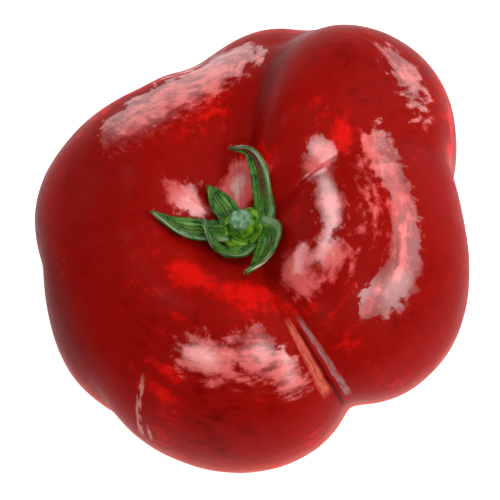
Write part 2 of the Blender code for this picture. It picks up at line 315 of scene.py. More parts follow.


# The calyx: a pad with five sepals, whose middle lines are the imported solid's own, as points of x
# and y from the axis and of height above the floor of the hollow, in mm. The last three values
# say how strong the pale strokes and the white painted highlight are on the left and right edges,
# looking from the root, and how brown the groove is with painted shade.
Sepal = namedtuple("Sepal", "line root_width width cup roll left right heart")
SEPALS = (
    Sepal(  # the long one at the back, whose tip hooks to the left
        line=((2.2, 1.0, 2.0), (3.9, 3.4, 2.9), (3.5, 7.0, 5.5), (2.7, 10.4, 8.0),
              (0.9, 13.0, 8.6), (-2.8, 13.8, 7.4)),
        root_width=5.0 * MM, width=3.6 * MM, cup=0.25, roll=0, left=0.2, right=1.0, heart=1.0,
    ),
    Sepal(  # the short one at the back left
        line=((-1.4, 1.4, 1.6), (-3.2, 3.4, 2.3), (-4.8, 5.3, 3.4), (-6.5, 7.2, 5.2)),
        root_width=4.8 * MM, width=4.3 * MM, cup=0.20, roll=0, left=0.3, right=0.3, heart=0.1,
    ),
    Sepal(  # the straight strap on the left
        line=((-2.4, -0.4, 1.6), (-5.6, -0.7, 2.4), (-9.2, -1.1, 4.1), (-12.8, -0.8, 6.0),
              (-16.6, 1.0, 8.0)),
        root_width=4.2 * MM, width=4.2 * MM, cup=0.20, roll=0, left=0.8, right=0.3, heart=0.2,
    ),
    Sepal(  # the crescent at the front left, curling back over the strap
        line=((1.2, -2.4, 1.6), (-0.3, -4.9, 2.9), (-2.9, -5.7, 3.8), (-5.3, -4.2, 4.0),
              (-6.6, -1.7, 4.6), (-7.2, 0.4, 5.6)),
        root_width=3.4 * MM, width=3.0 * MM, cup=0.25, roll=30, left=0.9, right=0.2, heart=0.0,
    ),
    Sepal(  # the crescent at the front right
        line=((2.4, -0.2, 1.9), (5.0, -1.6, 3.8), (4.7, -4.8, 4.2), (3.1, -7.9, 5.2),
              (0.3, -10.4, 7.1)),
        root_width=6.0 * MM, width=5.0 * MM, cup=0.20, roll=20, left=1.0, right=0.3, heart=0.3,
    ),
)
BOWL_HEIGHT = 14.0 * MM     # above the floor, of the point that all the sepals face
SEPAL_THICKNESS = 0.8 * MM
SEPAL_TIP = 0.3 * MM
EDGE_SHARE = 0.45           # of a blade's thickness that is left at its edges
NECK_END = 0.35
POINT_START = 0.55
POINT_POWER = 1.6
SEPAL_STEPS = 80
SEPAL_STRIPS = 24
LINE_STEP = 0.02
VEIN_RISE = 0.07 * MM
VEINS = 3.0                 # ridges on each half of a blade
EDGE_WAVE = 0.25 * MM       # of a blade's thin edges, up and down
WAVE_LENGTH = 3.0 * MM

GAP = 0.5 * MM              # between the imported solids, which the finer pieces close
HUB_RADIUS = 4.4 * MM
HUB_THICKNESS = 1.6 * MM
COLLAR_RADIUS = 3.1 * MM
COLLAR_WIDTH = 0.7 * MM
COLLAR_HEIGHT = 0.6 * MM
HUB_SIDES = 96
HUB_RINGS = 48
HUB_LUMP = 0.35 * MM        # of the knobs on the pad and its collar
LUMP_LENGTH = 1.5 * MM

STEM_PROFILE = (
    (2.0 * MM, 0.0 * MM),
    (1.8 * MM, 0.9 * MM),
    (1.8 * MM, 1.8 * MM),
    (2.1 * MM, 2.6 * MM),
    (2.0 * MM, 3.3 * MM),
    (1.9 * MM, 3.8 * MM),
    (1.6 * MM, 4.1 * MM),
)
STEM_LEAN = -0.17
FOOT_RISE = 1.1 * MM
STEM_SIDES = 120
STEM_RINGS = 60
CUT_RINGS = 12
STEM_RIBS = 7
RIB_DEPTH = 0.10 * MM
RIB_TWIST = 0.8             # radians that the ribs turn in each millimetre of height
STEM_LUMP = 0.16 * MM
CUT_HOLLOW = 0.25 * MM      # how far the pith has sunk below the rim of the cut
CUT_INSET = 0.9             # share of an end's radius that its rings take up
IN_AN_END = 0.49            # height from the middle of a cylinder 1 high, past which a point is there

HAIR_LENGTH = 0.65 * MM
HAIR_RADIUS = 0.022 * MM
SHORTEST_HAIR = 0.5         # shares of that length: of the shortest hair, of how far a hair's
HAIR_MIDDLE = 0.45          # middle stands off the surface, and of how far it leans
HAIR_LEAN = 0.7


def skin_height(tree, x, y):
    """The height of the skin straight below a point over the fruit."""
    above = Vector((x, y, 1.0))
    return tree.ray_cast(above, Vector((0.0, 0.0, -1.0)))[0].z


def point_along(points, share):
    """The place at this share of a smooth line through the points."""
    last = len(points) - 1
    position = min(max(share, 0.0), 1.0) * last
    index = min(int(position), last - 1)
    part = position - index
    here, after = points[index], points[index + 1]
    before = points[max(index - 1, 0)]
    beyond = points[min(index + 2, last)]
    bend = 2.0 * before - 5.0 * here + 4.0 * after - beyond
    twist = 3.0 * here - before - 3.0 * after + beyond
    return here + 0.5 * ((after - before) * part + bend * part ** 2 + twist * part ** 3)


def blade_width(sepal, along):
    """Wide where it leaves the hub, even along the blade and tapered to the tip."""
    neck = 1.0 - smooth_step(along / NECK_END)
    taper = max(along - POINT_START, 0.0) / (1.0 - POINT_START)
    width = sepal.width + (sepal.root_width - sepal.width) * neck
    return max(width * (1.0 - taper ** POINT_POWER), SEPAL_TIP)


def make_sepal(number, sepal, floor):
    """A veined blade along its middle line, thin at its edges, with its own lengthwise map."""
    points = [Vector((x * MM, y * MM, floor + height * MM)) for x, y, height in sepal.line]
    faced = Vector((0.0, 0.0, floor + BOWL_HEIGHT))
    shape = bmesh.new()
    bmesh.ops.create_grid(shape, x_segments=SEPAL_STEPS, y_segments=SEPAL_STRIPS, size=0.5)
    blade_map = shape.loops.layers.uv.new("blade")
    tint_map = shape.loops.layers.uv.new("tint")
    for face in shape.faces:
        for loop in face.loops:
            loop[blade_map].uv = (loop.vert.co.x + 0.5, loop.vert.co.y + 0.5)
            loop[tint_map].uv = (sepal.right if loop.vert.co.y > 0.0 else sepal.left, sepal.heart)
    thick = shape.verts.layers.deform.verify()
    for vert in shape.verts:
        along = vert.co.x + 0.5
        across = 2.0 * vert.co.y
        middle = point_along(points, along)
        ahead = point_along(points, along + LINE_STEP) - point_along(points, along - LINE_STEP)
        side = ahead.cross(faced - middle).normalized()
        rise = side.cross(ahead).normalized()
        width = blade_width(sepal, along)
        cupped = smooth_step(along / NECK_END)
        vein = math.cos(math.pi * (2.0 * VEINS * abs(across) + 1.0))
        wave = noise.noise(middle / WAVE_LENGTH + Vector((number, across, 0.0)))
        place = Vector((0.5 * width * across, width * sepal.cup * cupped * across ** 2))
        place.y += VEIN_RISE * cupped * vein + EDGE_WAVE * cupped * across ** 2 * wave
        place.rotate(Matrix.Rotation(math.radians(-sepal.roll) * along, 2))
        vert.co = middle + side * place.x + rise * place.y
        vert[thick][0] = 1.0 - (1.0 - EDGE_SHARE) * smooth_step(abs(across)) * cupped
    bmesh.ops.triangulate(shape, faces=shape.faces)
    blade = make_object("sepal_%d" % number, shape)
    blade.vertex_groups.new(name="thick")
    wall = blade.modifiers.new("thickness", "SOLIDIFY")
    wall.thickness = SEPAL_THICKNESS
    wall.offset = 0.0
    wall.vertex_group = "thick"
    return blade


def make_hub(tree):
    """The knobbly pad of the calyx, let down on to the skin."""
    shape = bmesh.new()
    bmesh.ops.create_uvsphere(shape, u_segments=HUB_SIDES, v_segments=HUB_RINGS, radius=1.0)
    shape.loops.layers.uv.new("blade")
    shape.loops.layers.uv.new("tint")
    for vert in shape.verts:
        x, y = vert.co.x * HUB_RADIUS, vert.co.y * HUB_RADIUS
        out = math.hypot(x, y)
        lump = HUB_LUMP * noise.noise(Vector((x, y, 0.0)) / LUMP_LENGTH)
        foot = skin_height(tree, x, y) - GAP
        if vert.co.z > 0.0:
            collar = COLLAR_HEIGHT * math.exp(-(((out - COLLAR_RADIUS) / COLLAR_WIDTH) ** 2))
            thickness = HUB_THICKNESS + collar + lump
        else:
            thickness = HUB_THICKNESS
        top = 2.0 * GAP + thickness
        vert.co = Vector((x, y, foot + top * (0.5 + 0.5 * vert.co.z)))
    return make_object("tomato_calyx", shape)


def make_calyx(tree, floor):
    """The hub and its sepals, joined into one body."""
    hub = make_hub(tree)
    blades = bpy.data.collections.new("sepals")
    bpy.context.scene.collection.children.link(blades)
    for number, sepal in enumerate(SEPALS, start=1):
        blade = make_sepal(number, sepal, floor)
        bpy.context.scene.collection.objects.unlink(blade)
        blades.objects.link(blade)
    union = hub.modifiers.new("union", "BOOLEAN")
    union.operation = "UNION"
    union.operand_type = "COLLECTION"
    union.solver = "MANIFOLD"
    union.collection = blades
    joined = bpy.data.meshes.new_from_object(hub.evaluated_get(bpy.context.evaluated_depsgraph_get()))
    hub.modifiers.clear()
    hub.data = joined
    hub.data.shade_smooth()
    for blade in list(blades.objects):
        bpy.data.objects.remove(blade)
    bpy.data.collections.remove(blades)
    return hub


def profile_radius(height):
    """The stub's radius at this height above its foot."""
    for (low_radius, low), (high_radius, high) in zip(STEM_PROFILE, STEM_PROFILE[1:]):
        if height <= high:
            share = smooth_step((height - low) / (high - low))
            return low_radius + (high_radius - low_radius) * share
    return STEM_PROFILE[-1][0]


def make_stem(foot):
    """The ribbed stub, with its knuckle and its sunken cut end."""
    length = STEM_PROFILE[-1][1]
    shape = bmesh.new()
    bmesh.ops.create_cone(
        shape, cap_ends=True, segments=STEM_SIDES, radius1=1.0, radius2=1.0, depth=1.0,
    )
    ends = [face for face in shape.faces if len(face.verts) > 4]
    for _ in range(CUT_RINGS):
        bmesh.ops.inset_region(shape, faces=ends, thickness=CUT_INSET / CUT_RINGS)
    sides = [edge for edge in shape.edges if abs(edge.verts[0].co.z - edge.verts[1].co.z) > 0.5]
    bmesh.ops.subdivide_edges(shape, edges=sides, cuts=STEM_RINGS, use_grid_fill=True)
    for vert in shape.verts:
        height = (vert.co.z + 0.5) * length
        angle = math.atan2(vert.co.y, vert.co.x)
        inward = math.hypot(vert.co.x, vert.co.y)
        around_point = Vector((math.cos(angle), math.sin(angle), height / MM))
        rib = math.sin(STEM_RIBS * angle + RIB_TWIST * height / MM)
        radius = profile_radius(height) + RIB_DEPTH * rib
        radius += STEM_LUMP * noise.noise(around_point)
        sunk = CUT_HOLLOW * smooth_step(1.0 - inward) if vert.co.z > IN_AN_END else 0.0
        rooted = GAP + FOOT_RISE if vert.co.z < -IN_AN_END else 0.0
        vert.co = Vector((
            radius * inward * math.cos(angle) + STEM_LEAN * height,
            radius * inward * math.sin(angle),
            foot + height - sunk - rooted,
        ))
    bmesh.ops.recalc_face_normals(shape, faces=shape.faces)
    return make_object("tomato_stem", shape)


Triangle = namedtuple("Triangle", "corners normal area")


def upper_triangles(mesh, lowest_facing):
    """The triangles that face up enough, always in the same order.

    Blender stores a joined mesh in another order each time, so each triangle's corners are
    sorted, and then the triangles.
    """
    mesh.calc_loop_triangles()
    found = []
    for stored in mesh.loop_triangles:
        corners = sorted(tuple(mesh.vertices[index].co) for index in stored.vertices)
        first, second, third = [Vector(corner) for corner in corners]
        square = (second - first).cross(third - first)
        if square.dot(stored.normal) < 0.0:
            square.negate()
        normal = square.normalized()
        if normal.z > lowest_facing:
            found.append(Triangle(corners, tuple(normal), 0.5 * square.length))
    return sorted(found)


def make_hairs(name, piece, count, seed, lowest_facing):
    """Fine hairs standing on a piece, each a three-sided spike."""
    draw = random.Random(seed)
    triangles = upper_triangles(piece.data, lowest_facing)
    areas = [triangle.area for triangle in triangles]
    shape = bmesh.new()
    for triangle in draw.choices(triangles, weights=areas, k=count):
        first, second, third = [Vector(corner) for corner in triangle.corners]
        a, b = draw.random(), draw.random()
        if a + b > 1.0:
            a, b = 1.0 - a, 1.0 - b
        root = first + (second - first) * a + (third - first) * b
        lean = Vector((draw.uniform(-1.0, 1.0), draw.uniform(-1.0, 1.0), draw.uniform(-1.0, 1.0)))
        direction = (Vector(triangle.normal) + lean * HAIR_LEAN).normalized()
        length = HAIR_LENGTH * draw.uniform(SHORTEST_HAIR, 1.0)
        turn = direction.to_track_quat("Z", "Y").to_matrix().to_4x4()
        bmesh.ops.create_cone(
            shape, cap_ends=True, segments=3, radius1=HAIR_RADIUS, radius2=0.0, depth=length,
            matrix=Matrix.Translation(root + direction * length * HAIR_MIDDLE) @ turn,
        )
    return make_object(name, shape)


# The materials' colours, as linear red, green and blue.
DEEP_RED = (0.20, 0.0020, 0.0010)
RIPE_RED = (0.36, 0.0045, 0.0025)
BRIGHT_RED = (0.85, 0.0070, 0.0045)
FLOOR_REFLECTION_ORANGE = (0.85, 0.070, 0.025)
HIGHLIGHT_PINK = (0.98, 0.17, 0.16)
HIGHLIGHT_WHITE = (0.95, 0.58, 0.52)
CREASE_HIGHLIGHT_PINK = (0.72, 0.26, 0.22)
CREASE_HIGHLIGHT_ORANGE = (0.80, 0.17, 0.11)
CREASE_HIGHLIGHT_GREY = (0.46, 0.22, 0.22)
FOLD_SHADE_RED = (0.10, 0.002, 0.001)
CORK = (0.30, 0.16, 0.07)
GLINT_PINK = (0.75, 0.12, 0.07)
DEEP_GREEN = (0.010, 0.080, 0.010)
LEAF_GREEN = (0.060, 0.220, 0.015)
FRESH_GREEN = (0.200, 0.430, 0.012)
PALE_GREEN = (0.400, 0.560, 0.360)
RIM_HIGHLIGHT = (0.800, 0.850, 0.740)
GROOVE_SHADE = (0.190, 0.040, 0.016)
DRY_BROWN = (0.150, 0.070, 0.020)
CUT_GREEN = (0.080, 0.220, 0.080)
CUT_PALE = (0.260, 0.460, 0.290)
HAIR_GREEN = (0.35, 0.50, 0.24)


def place_node(tree, kind, inputs, **settings):
    """A node with its settings, and each named input set to a value or fed by an output."""
    node = tree.nodes.new(kind)
    for name, value in settings.items():
        setattr(node, name, value)
    for name, value in inputs.items():
        if isinstance(value, bpy.types.NodeSocket):
            tree.links.new(value, node.inputs[name])
        else:
            node.inputs[name].default_value = value
    return node


def maths(tree, operation, first, second=0.0):
    return place_node(tree, "ShaderNodeMath", {0: first, 1: second}, operation=operation).outputs[0]


def plus(tree, first, second):
    return maths(tree, "ADD", first, second)


def minus(tree, first, second):
    return maths(tree, "SUBTRACT", first, second)


def product(tree, first, *others):
    for other in others:
        first = maths(tree, "MULTIPLY", first, other)
    return first


def between(tree, value, start, end, low=0.0, high=1.0):
    """Eased from low to high as the value goes from start to end."""
    inputs = {"Value": value, "From Min": start, "From Max": end, "To Min": low, "To Max": high}
    return place_node(tree, "ShaderNodeMapRange", inputs, interpolation_type="SMOOTHSTEP").outputs[0]


def mix_colours(tree, share, first, second):
    """The first colour, turning into the second as the share goes from 0 to 1."""
    sockets = {0: share, 6: first, 7: second}
    for index in (6, 7):
        if isinstance(sockets[index], tuple):
            sockets[index] = (*sockets[index], 1.0)
    return place_node(tree, "ShaderNodeMix", sockets, data_type="RGBA").outputs[2]


def noise_at(tree, place, scale, detail=2.0, roughness=0.5):
    inputs = {"Vector": place, "Scale": scale, "Detail": detail, "Roughness": roughness}
    return place_node(tree, "ShaderNodeTexNoise", inputs).outputs["Fac"]


def swing(tree, value, size):
    """A noise as a swing of this size about zero."""
    return product(tree, minus(tree, value, 0.5), size)


def scaled(tree, place, scale):
    return place_node(tree, "ShaderNodeMapping", {"Vector": place, "Scale": scale}).outputs[0]


def attribute(tree, name, output="Fac"):
    return place_node(tree, "ShaderNodeAttribute", {}, attribute_name=name).outputs[output]


def object_place(tree):
    return tree.nodes.new("ShaderNodeTexCoord").outputs["Object"]


def parts_of(tree, vector):
    return place_node(tree, "ShaderNodeSeparateXYZ", {0: vector}).outputs


def new_group(name, inputs, outputs):
    """An empty node group with these sockets, and its input and output nodes."""
    tree = bpy.data.node_groups.new(name, "ShaderNodeTree")
    for socket, kind in inputs:
        tree.interface.new_socket(name=socket, in_out="INPUT", socket_type=kind)
    for socket, kind in outputs:
        tree.interface.new_socket(name=socket, in_out="OUTPUT", socket_type=kind)
    return tree, tree.nodes.new("NodeGroupInput").outputs, tree.nodes.new("NodeGroupOutput").inputs


def streak_group():
    """Fine streaks along the way a skin or a blade grew."""
    tree, given, result = new_group(
        "growth_streaks",
        (("Grown", "NodeSocketVector"), ("Around", "NodeSocketFloat"), ("Along", "NodeSocketFloat"),
         ("Detail", "NodeSocketFloat")),
        (("Streak", "NodeSocketFloat"),),
    )
    parts = parts_of(tree, given["Grown"])
    stretched = place_node(tree, "ShaderNodeCombineXYZ", {
        0: product(tree, parts[0], given["Around"]),
        1: product(tree, parts[1], given["Around"]),
        2: product(tree, parts[2], given["Along"]),
    }).outputs[0]
    tree.links.new(noise_at(tree, stretched, 1.0, given["Detail"], 0.55), result["Streak"])
    return tree


def streaked(tree, streaks, grown, counts):
    """Streaks with these counts around and along, and this detail."""
    inputs = dict(zip(("Grown", "Around", "Along", "Detail"), (grown, *counts)))
    return place_node(tree, "ShaderNodeGroup", inputs, node_tree=streaks).outputs["Streak"]


LINE_WAVES = (0.0, 0.0, 30.0)       # counts of the noise that a painted line wavers by, and of the one that breaks it, across, across and along
LINE_BREAKS = (60.0, 60.0, 45.0)    # that breaks it, across, across and along
LINE_SIDES = (1.0, 0.4)             # of its width, from where it starts to where it is full
LINE_FADE = 0.03                    # share of the way over which it starts and ends
MISSING = (0.55, 0.42)


def crease_line_group():
    """A broken line that runs down the skin at one heading, for the highlights and the shade painted
    along a crease.
    """
    tree, given, result = new_group(
        "painted_crease_line",
        (("Grown", "NodeSocketVector"), ("Heading", "NodeSocketFloat"), ("Width", "NodeSocketFloat"),
         ("Start", "NodeSocketFloat"), ("End", "NodeSocketFloat"), ("Waver", "NodeSocketFloat"),
         ("Broken", "NodeSocketFloat")),
        (("Seam", "NodeSocketFloat"),),
    )
    turned = place_node(tree, "ShaderNodeVectorRotate", {
        "Vector": given["Grown"], "Angle": product(tree, given["Heading"], -1.0),
    }, rotation_type="Z_AXIS").outputs[0]
    parts = parts_of(tree, turned)
    waver = swing(tree, noise_at(tree, scaled(tree, turned, LINE_WAVES), 1.0), given["Waver"])
    aside = maths(tree, "ABSOLUTE", plus(tree, parts[1], waver))
    line = between(tree, maths(tree, "DIVIDE", aside, given["Width"]), *LINE_SIDES)
    half = maths(tree, "GREATER_THAN", parts[0], 0.0)
    begun = between(tree, minus(tree, parts[2], given["Start"]), 0.0, LINE_FADE)
    ended = between(tree, minus(tree, given["End"], parts[2]), 0.0, LINE_FADE)
    missing = between(tree, noise_at(tree, scaled(tree, turned, LINE_BREAKS), 1.0, 3.0), *MISSING)
    whole = minus(tree, 1.0, product(tree, missing, given["Broken"]))
    tree.links.new(product(tree, line, half, begun, ended, whole), result["Seam"])
    return tree


def new_material(name, roughness=0.5, **values):
    """A material and its Principled shader, whose even values are set on its own sockets."""
    material = bpy.data.materials.new(name)
    material.use_nodes = True
    tree = material.node_tree
    shader = tree.nodes["Principled BSDF"]
    shader.inputs["Roughness"].default_value = roughness
    for socket, value in values.items():
        shader.inputs[socket.replace("_", " ")].default_value = value
    return material, tree, shader.inputs


def bump(tree, height, depth, below=None):
    inputs = {"Height": height, "Distance": depth, "Strength": 1.0}
    if below:
        inputs["Normal"] = below
    return place_node(tree, "ShaderNodeBump", inputs).outputs[0]


# Lines painted along the creases, the pink, orange and grey ones as painted highlights on their flanks
# and the dark red one as painted shade in the fold: heading and width in degrees, the stretch of each
# from the stem end, 0, to the blossom end, 1, how far it wavers, how broken it is, how well it shows
# and its colour.
Seam = namedtuple("Seam", "heading width start end waver broken strength tint")
CREASE_LINES = (
    Seam(heading=243, width=1.1, start=0.27, end=0.46, waver=0.03, broken=1.0, strength=0.9,
         tint=CREASE_HIGHLIGHT_PINK),
    Seam(heading=246, width=0.7, start=0.38, end=0.46, waver=0.03, broken=1.0, strength=0.9,
         tint=CREASE_HIGHLIGHT_PINK),
    Seam(heading=301, width=2.4, start=0.13, end=0.33, waver=0.03, broken=0.5, strength=0.8,
         tint=CREASE_HIGHLIGHT_ORANGE),
    Seam(heading=304, width=1.0, start=0.14, end=0.42, waver=0.02, broken=0.2, strength=0.9,
         tint=FOLD_SHADE_RED),
    Seam(heading=307, width=1.4, start=0.13, end=0.38, waver=0.03, broken=0.5, strength=0.8,
         tint=CREASE_HIGHLIGHT_GREY),
)

# The skin's strokes, as counts around and along the fruit with their detail, its noises, as scale,
# detail and roughness, and where one look turns into another, as the first and last values with
# what they are eased between.
DOWN_STROKES = (24.0, 26.0, 4.0)
ACROSS_STROKES = (8.0, 70.0, 4.0)
BLOTCHES = (55.0, 2.0)
MOTTLE = (300.0, 5.0, 0.7)
STROKE_TURNS = (40.0, 1.0)
GLINT_STRETCH = (900.0, 600.0, 900.0)
GLINT_NOISE = (1.0, 3.0, 0.7)
TURNED = (0.42, 0.58)               # from strokes down the fruit to strokes across it
SETTLED = (0.04, 0.18, 0.2, 1.0)    # from calm round the stem to full strokes
STROKE_SWING = 2.0
MOTTLE_SWING = 1.5
BLOTCH_SWING = 1.8
LIVELY = (-0.35, 0.0, 0.2, 1.0)
HIGHLIGHT_LIFT = 0.35                     # how much brighter the red is painted under the waxy patches, as painted light
DEEPENED = (0.0, -0.9)
BRIGHTENED = (0.15, 0.9)
LOWER_FLANK = (0.42, 0.60, 0.0, 0.8)
NEAR_PATCH = (0.02, 0.25)
GLOSSY = (0.38, 0.66)
PINK_HIGHLIGHT = (0.25, 0.85, 0.0, 0.9)
WHITE_HIGHLIGHT = (1.00, 1.45)
GLINTING = (0.60, 0.68)
NEAR_GLOSS = (0.05, 0.6, 0.0, 0.8)
SCARRED = (0.972, 0.992)
SCAR_WAVER = 0.02
SCAR_ROUGHNESS = 0.3                # more than the skin's
WAX_COAT = (0.0, 1.0, 0.008, 1.0)
SKIN_ROUGHNESS = (0.3, 0.7, 0.34, 0.46)
STROKE_BUMP = 0.05 * MM
MOTTLE_BUMP = 0.06 * MM


def skin_material(streaks, crease_line):
    """Ripe red skin with brushed patches, some of them waxy enough to shine, with painted light,
    shade, highlights, glints and a floor reflection in its colour.
    """
    material, tree, skin = new_material(
        "tomato_skin", IOR=1.45, Specular_IOR_Level=0.03, Coat_Roughness=0.26, Coat_IOR=1.8,
    )
    place = object_place(tree)
    grown = attribute(tree, "grown", "Vector")
    waxy = attribute(tree, "waxy")
    pale = attribute(tree, "pale")
    bright = attribute(tree, "bright")
    along = parts_of(tree, grown)[2]

    down = streaked(tree, streaks, grown, DOWN_STROKES)
    across = streaked(tree, streaks, grown, ACROSS_STROKES)
    broad = noise_at(tree, place, *BLOTCHES)
    mottle = noise_at(tree, place, *MOTTLE)
    turned = between(tree, noise_at(tree, place, *STROKE_TURNS), *TURNED)
    straight = product(tree, minus(tree, 1.0, turned), down)
    strokes = swing(tree, plus(tree, product(tree, turned, across), straight), STROKE_SWING)
    strokes = product(tree, strokes, between(tree, along, *SETTLED))
    brushed = plus(tree, strokes, swing(tree, mottle, MOTTLE_SWING))

    unrest = plus(tree, swing(tree, broad, BLOTCH_SWING), brushed)
    unrest = product(tree, between(tree, bright, *LIVELY), unrest)
    # The red is painted brighter where light would fall and darker where shade would, and brighter
    # round the waxy highlights.
    mood = plus(tree, plus(tree, bright, unrest), product(tree, waxy, HIGHLIGHT_LIFT))
    colour = mix_colours(tree, between(tree, mood, *DEEPENED), RIPE_RED, DEEP_RED)
    colour = mix_colours(tree, between(tree, mood, *BRIGHTENED), colour, BRIGHT_RED)
    # Painted reflection: the lower flank turns orange-red as if it caught the white floor.
    colour = mix_colours(tree, between(tree, along, *LOWER_FLANK), colour, FLOOR_REFLECTION_ORANGE)

    ragged = product(tree, brushed, between(tree, waxy, *NEAR_PATCH))
    gloss = between(tree, plus(tree, waxy, ragged), *GLOSSY)
    # Painted highlights: pink and white put into the colour where the pale patches lie.
    ragged = product(tree, brushed, between(tree, pale, *NEAR_PATCH))
    highlighted = plus(tree, pale, ragged)
    colour = mix_colours(tree, between(tree, highlighted, *PINK_HIGHLIGHT), colour, HIGHLIGHT_PINK)
    colour = mix_colours(tree, between(tree, highlighted, *WHITE_HIGHLIGHT), colour, HIGHLIGHT_WHITE)
    # Painted glints: tiny pink specks near the waxy patches, where the highlights break up.
    glint = between(tree, noise_at(tree, scaled(tree, place, GLINT_STRETCH), *GLINT_NOISE), *GLINTING)
    near_gloss = between(tree, plus(tree, waxy, swing(tree, broad, 1.0)), *NEAR_GLOSS)
    colour = mix_colours(tree, product(tree, glint, near_gloss), colour, GLINT_PINK)

    # The lines painted along the creases: painted highlights on the flanks and painted shade in the
    # fold, with no wax over them.
    line_share = 0.0
    for line in CREASE_LINES:
        inputs = {
            "Grown": grown, "Heading": math.radians(line.heading), "Width": math.radians(line.width),
            "Start": line.start, "End": line.end, "Waver": line.waver, "Broken": line.broken,
        }
        node = place_node(tree, "ShaderNodeGroup", inputs, node_tree=crease_line)
        share = product(tree, node.outputs["Seam"], line.strength)
        colour = mix_colours(tree, share, colour, line.tint)
        line_share = maths(tree, "MAXIMUM", share, line_share)
    scar = between(tree, plus(tree, along, product(tree, down, SCAR_WAVER)), *SCARRED)
    colour = mix_colours(tree, scar, colour, CORK)
    tree.links.new(colour, skin["Base Color"])

    smooth = minus(tree, 1.0, maths(tree, "MAXIMUM", line_share, scar))
    coat = product(tree, smooth, between(tree, gloss, *WAX_COAT))
    tree.links.new(coat, skin["Coat Weight"])
    rough = plus(tree, between(tree, mottle, *SKIN_ROUGHNESS), product(tree, scar, SCAR_ROUGHNESS))
    tree.links.new(rough, skin["Roughness"])
    tree.links.new(bump(tree, mottle, MOTTLE_BUMP, bump(tree, down, STROKE_BUMP)), skin["Normal"])
    return material


# The same for the leaves: their veins, noises and turns of look. Places across a blade are
# measured from its middle line, 0, to its edge, 0.5, and places along it from its root, 0.
VEIN_STROKES = (11.0, 3.0, 4.0)
LEAF_MOTTLE = (900.0, 3.0, 0.6)
KNOBS = (650.0, 1.0)
ON_BLADE = (0.02, 0.12)
LEAF_SHADES = (0.38, 0.62)
LIT_VEINS = (0.50, 0.70, 0.0, 0.8)
KNOB_TOPS = (0.42, 0.56)
GROOVE_SIDES = (0.22, 0.08)
GROOVE_START = (0.25, 0.40)
GROOVE_STRENGTH = 0.9
PALE_LIFT = 0.35                    # how much an edge's paleness, partly painted highlight, adds to its veins
PALE_STROKES = (0.66, 0.84)
PALE_SIDES = (0.20, 0.40)
PALE_STRENGTH = 0.7
UPPER_FACE = (0.490, 0.475)         # from the cut edge of the blade to its face
RIM_INNER = (0.35, 0.65, 0.40, 0.24)    # the white painted highlight on the rim widens along the blade
RIM_EASE = (0.0, 0.03)
RIM_PALENESS = (0.75, 1.0)
RIM_STROKES = (0.36, 0.50)
RIM_START = (0.28, 0.42)
RIM_END = (0.95, 0.85)
DRY_TIP = (0.84, 1.0)
DRY_LEAST = 0.2
LEAF_ROUGHNESS = (0.3, 0.7, 0.32, 0.50)
LEAF_COAT = 0.12
VEIN_BUMP = 0.12 * MM


def leaf_material(streaks):
    """Glossy green sepals with pale edges, partly painted highlight, white rims of painted highlight,
    a groove in one painted brown as shade, and a knobbly fresh green pad.
    """
    material, tree, leaf = new_material(
        "sepal_green", Specular_IOR_Level=0.2, Coat_Roughness=0.18, Coat_IOR=1.8,
    )
    place = object_place(tree)
    blade = place_node(tree, "ShaderNodeUVMap", {}, uv_map="blade").outputs[0]
    along, across = parts_of(tree, blade)[:2]
    tint = place_node(tree, "ShaderNodeUVMap", {}, uv_map="tint").outputs[0]
    edge_highlight, heart = parts_of(tree, tint)[:2]
    aside = maths(tree, "ABSOLUTE", minus(tree, across, 0.5))
    on_blade = between(tree, along, *ON_BLADE)

    lengthwise = place_node(tree, "ShaderNodeCombineXYZ", {0: across, 1: 0.0, 2: along}).outputs[0]
    veins = streaked(tree, streaks, lengthwise, VEIN_STROKES)
    mottle = noise_at(tree, place, *LEAF_MOTTLE)

    colour = mix_colours(tree, between(tree, mottle, *LEAF_SHADES), DEEP_GREEN, LEAF_GREEN)
    lit = product(tree, on_blade, between(tree, veins, *LIT_VEINS))
    colour = mix_colours(tree, lit, colour, FRESH_GREEN)
    knobs = between(tree, noise_at(tree, place, *KNOBS), *KNOB_TOPS)
    pad = minus(tree, 1.0, on_blade)
    colour = mix_colours(tree, product(tree, pad, knobs), colour, FRESH_GREEN)
    # Painted shade: the groove of the long sepal is browned, with the fruit's red reflected in it.
    groove = product(tree, between(tree, aside, *GROOVE_SIDES), between(tree, along, *GROOVE_START))
    groove = product(tree, groove, product(tree, heart, GROOVE_STRENGTH))
    colour = mix_colours(tree, groove, colour, GROOVE_SHADE)

    # Pale strokes along the edges: partly the sepals' paler edge, partly painted highlight.
    brushed = between(tree, plus(tree, veins, product(tree, edge_highlight, PALE_LIFT)), *PALE_STROKES)
    upper = between(tree, aside, *UPPER_FACE)
    edge = product(tree, on_blade, product(tree, brushed, between(tree, aside, *PALE_SIDES)))
    edge = product(tree, edge, product(tree, upper, PALE_STRENGTH))
    colour = mix_colours(tree, edge, colour, PALE_GREEN)
    # Painted highlight: a white rim along one edge of the blade, where light would glance off it.
    inner = between(tree, along, *RIM_INNER)
    rim_highlight = product(
        tree, between(tree, minus(tree, aside, inner), *RIM_EASE), upper,
        between(tree, edge_highlight, *RIM_PALENESS), between(tree, veins, *RIM_STROKES),
        between(tree, along, *RIM_START), between(tree, along, *RIM_END),
    )
    colour = mix_colours(tree, rim_highlight, colour, RIM_HIGHLIGHT)
    dry = product(tree, between(tree, along, *DRY_TIP), plus(tree, DRY_LEAST, heart))
    colour = mix_colours(tree, dry, colour, DRY_BROWN)
    tree.links.new(colour, leaf["Base Color"])
    tree.links.new(between(tree, mottle, *LEAF_ROUGHNESS), leaf["Roughness"])
    coat = plus(tree, LEAF_COAT, product(tree, rim_highlight, 1.0 - LEAF_COAT))
    tree.links.new(coat, leaf["Coat Weight"])
    tree.links.new(bump(tree, mottle, MOTTLE_BUMP, bump(tree, veins, VEIN_BUMP)), leaf["Normal"])
    return material


